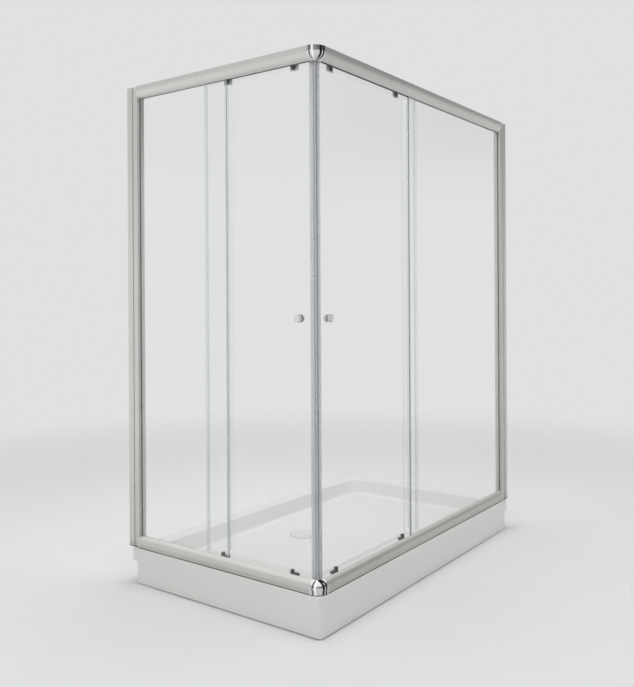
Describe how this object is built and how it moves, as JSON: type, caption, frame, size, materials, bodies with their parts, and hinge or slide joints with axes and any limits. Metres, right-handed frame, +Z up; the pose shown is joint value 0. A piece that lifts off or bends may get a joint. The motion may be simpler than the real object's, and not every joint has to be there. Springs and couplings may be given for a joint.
{
  "type": "shower enclosure",
  "caption": "Corner shower enclosure: fixed glass panels and sliding glass doors that meet at the front corner, in convex aluminium rails on a low white tray.",
  "frame": {"origin": "middle of the outer box, on the floor", "axes": "+X along the long side to its wall, +Y along the short side to its wall, +Z up; the entry corner is at -X -Y"},
  "size_m": [1.53, 0.93, 1.922],
  "materials": {
    "acrylic": "glossy white acrylic",
    "board": "bare chipboard",
    "steel": "zinc plated",
    "black_plastic": "moulded",
    "white_plastic": "moulded",
    "chrome": "polished",
    "rubber": "matte",
    "satin_aluminium": "satin anodised",
    "glass": "clear toughened",
    "clear_seal": "clear extruded",
    "magnet": "matte",
    "dark_plastic": "moulded",
    "plunger_plastic": "moulded",
    "wheel_plastic": "moulded"
  },
  "bodies": {
    "frame": {"shower_tray": "acrylic", "tray_base_board": "board", "leg_rods": "steel", "leg_nuts": "steel", "post_screws": "steel", "leg_pads": "black_plastic", "waste_cover": "white_plastic", "waste_trap": "white_plastic", "rail_end_blocks": "white_plastic", "waste_flange": "chrome", "corner_connector_top": "chrome", "corner_connector_bottom": "chrome", "waste_seal": "rubber", "post_gaskets": "rubber", "door_stops": "rubber", "wall_channel_left": "satin_aluminium", "wall_channel_right": "satin_aluminium", "side_post_left": "satin_aluminium", "side_post_right": "satin_aluminium", "top_rail_left": "satin_aluminium", "top_rail_right": "satin_aluminium", "bottom_rail_left": "satin_aluminium", "bottom_rail_right": "satin_aluminium", "fixed_glass_left": "glass", "fixed_glass_right": "glass", "rail_glazing_strips": "clear_seal", "edge_seal_left": "clear_seal", "edge_seal_right": "clear_seal"},
    "left_door": {"door_glass_left": "glass", "magnet_profile_left": "clear_seal", "magnet_strip_left": "magnet", "trailing_seal_left": "clear_seal", "outer_knob_left": "chrome", "inner_knob_left": "chrome", "knob_stud_left": "steel", "roller_carriers_left": "dark_plastic", "guide_bodies_left": "dark_plastic"},
    "right_door": {"door_glass_right": "glass", "magnet_profile_right": "clear_seal", "magnet_strip_right": "magnet", "trailing_seal_right": "clear_seal", "outer_knob_right": "chrome", "inner_knob_right": "chrome", "knob_stud_right": "steel", "roller_carriers_right": "dark_plastic", "guide_bodies_right": "dark_plastic"},
    "left_top_wheel_front": {"top_wheel_front_left": "wheel_plastic"},
    "left_plunger_front": {"release_plunger_front_left": "plunger_plastic"},
    "left_guide_wheel_front": {"guide_wheel_front_left": "wheel_plastic"},
    "left_top_wheel_rear": {"top_wheel_rear_left": "wheel_plastic"},
    "left_plunger_rear": {"release_plunger_rear_left": "plunger_plastic"},
    "left_guide_wheel_rear": {"guide_wheel_rear_left": "wheel_plastic"},
    "right_top_wheel_front": {"top_wheel_front_right": "wheel_plastic"},
    "right_plunger_front": {"release_plunger_front_right": "plunger_plastic"},
    "right_guide_wheel_front": {"guide_wheel_front_right": "wheel_plastic"},
    "right_top_wheel_rear": {"top_wheel_rear_right": "wheel_plastic"},
    "right_plunger_rear": {"release_plunger_rear_right": "plunger_plastic"},
    "right_guide_wheel_rear": {"guide_wheel_rear_right": "wheel_plastic"}
  },
  "joints": [
    {"name": "left_door_slide", "type": "slide", "parent": "frame", "child": "left_door", "axis": [0, 1, 0], "range_m": [0, 0.269]},
    {"name": "right_door_slide", "type": "slide", "parent": "frame", "child": "right_door", "axis": [1, 0, 0], "range_m": [0, 0.476]},
    {"name": "left_top_wheel_front_turn", "type": "hinge", "parent": "left_door", "child": "left_top_wheel_front", "pos_m": [-0.7275, -0.336, 1.9043], "axis": [-1, 0, 0], "range_deg": [0, 1622.4]},
    {"name": "left_plunger_front_lift", "type": "slide", "parent": "left_door", "child": "left_plunger_front", "axis": [0, 0, 1], "range_m": [0, 0.015], "stiffness_N_per_m": 300, "springref_m": -0.01},
    {"name": "left_guide_wheel_front_turn", "type": "hinge", "parent": "left_plunger_front", "child": "left_guide_wheel_front", "pos_m": [-0.7205, -0.33, 0.1468], "axis": [-1, 0, 0], "range_deg": [0, 1926.6]},
    {"name": "left_top_wheel_rear_turn", "type": "hinge", "parent": "left_door", "child": "left_top_wheel_rear", "pos_m": [-0.7275, -0.03699, 1.9043], "axis": [-1, 0, 0], "range_deg": [0, 1622.4]},
    {"name": "left_plunger_rear_lift", "type": "slide", "parent": "left_door", "child": "left_plunger_rear", "axis": [0, 0, 1], "range_m": [0, 0.015], "stiffness_N_per_m": 300, "springref_m": -0.01},
    {"name": "left_guide_wheel_rear_turn", "type": "hinge", "parent": "left_plunger_rear", "child": "left_guide_wheel_rear", "pos_m": [-0.7205, -0.01599, 0.1468], "axis": [-1, 0, 0], "range_deg": [0, 1926.6]},
    {"name": "right_top_wheel_front_turn", "type": "hinge", "parent": "right_door", "child": "right_top_wheel_front", "pos_m": [-0.636, -0.4275, 1.9043], "axis": [0, 1, 0], "range_deg": [0, 2870.9]},
    {"name": "right_plunger_front_lift", "type": "slide", "parent": "right_door", "child": "right_plunger_front", "axis": [0, 0, 1], "range_m": [0, 0.015], "stiffness_N_per_m": 300, "springref_m": -0.01},
    {"name": "right_guide_wheel_front_turn", "type": "hinge", "parent": "right_plunger_front", "child": "right_guide_wheel_front", "pos_m": [-0.63, -0.4205, 0.1468], "axis": [0, 1, 0], "range_deg": [0, 3409.1]},
    {"name": "right_top_wheel_rear_turn", "type": "hinge", "parent": "right_door", "child": "right_top_wheel_rear", "pos_m": [-0.20394, -0.4275, 1.9043], "axis": [0, 1, 0], "range_deg": [0, 2870.9]},
    {"name": "right_plunger_rear_lift", "type": "slide", "parent": "right_door", "child": "right_plunger_rear", "axis": [0, 0, 1], "range_m": [0, 0.015], "stiffness_N_per_m": 300, "springref_m": -0.01},
    {"name": "right_guide_wheel_rear_turn", "type": "hinge", "parent": "right_plunger_rear", "child": "right_guide_wheel_rear", "pos_m": [-0.18293, -0.4205, 0.1468], "axis": [0, 1, 0], "range_deg": [0, 3409.1]}
  ],
  "couplings": [
    {"joint": "left_top_wheel_front_turn", "follows": "left_door_slide", "rad_per_m": 105.26},
    {"joint": "left_guide_wheel_front_turn", "follows": "left_door_slide", "rad_per_m": 125},
    {"joint": "left_top_wheel_rear_turn", "follows": "left_door_slide", "rad_per_m": 105.26},
    {"joint": "left_guide_wheel_rear_turn", "follows": "left_door_slide", "rad_per_m": 125},
    {"joint": "right_top_wheel_front_turn", "follows": "right_door_slide", "rad_per_m": 105.26},
    {"joint": "right_guide_wheel_front_turn", "follows": "right_door_slide", "rad_per_m": 125},
    {"joint": "right_top_wheel_rear_turn", "follows": "right_door_slide", "rad_per_m": 105.26},
    {"joint": "right_guide_wheel_rear_turn", "follows": "right_door_slide", "rad_per_m": 125}
  ]
}
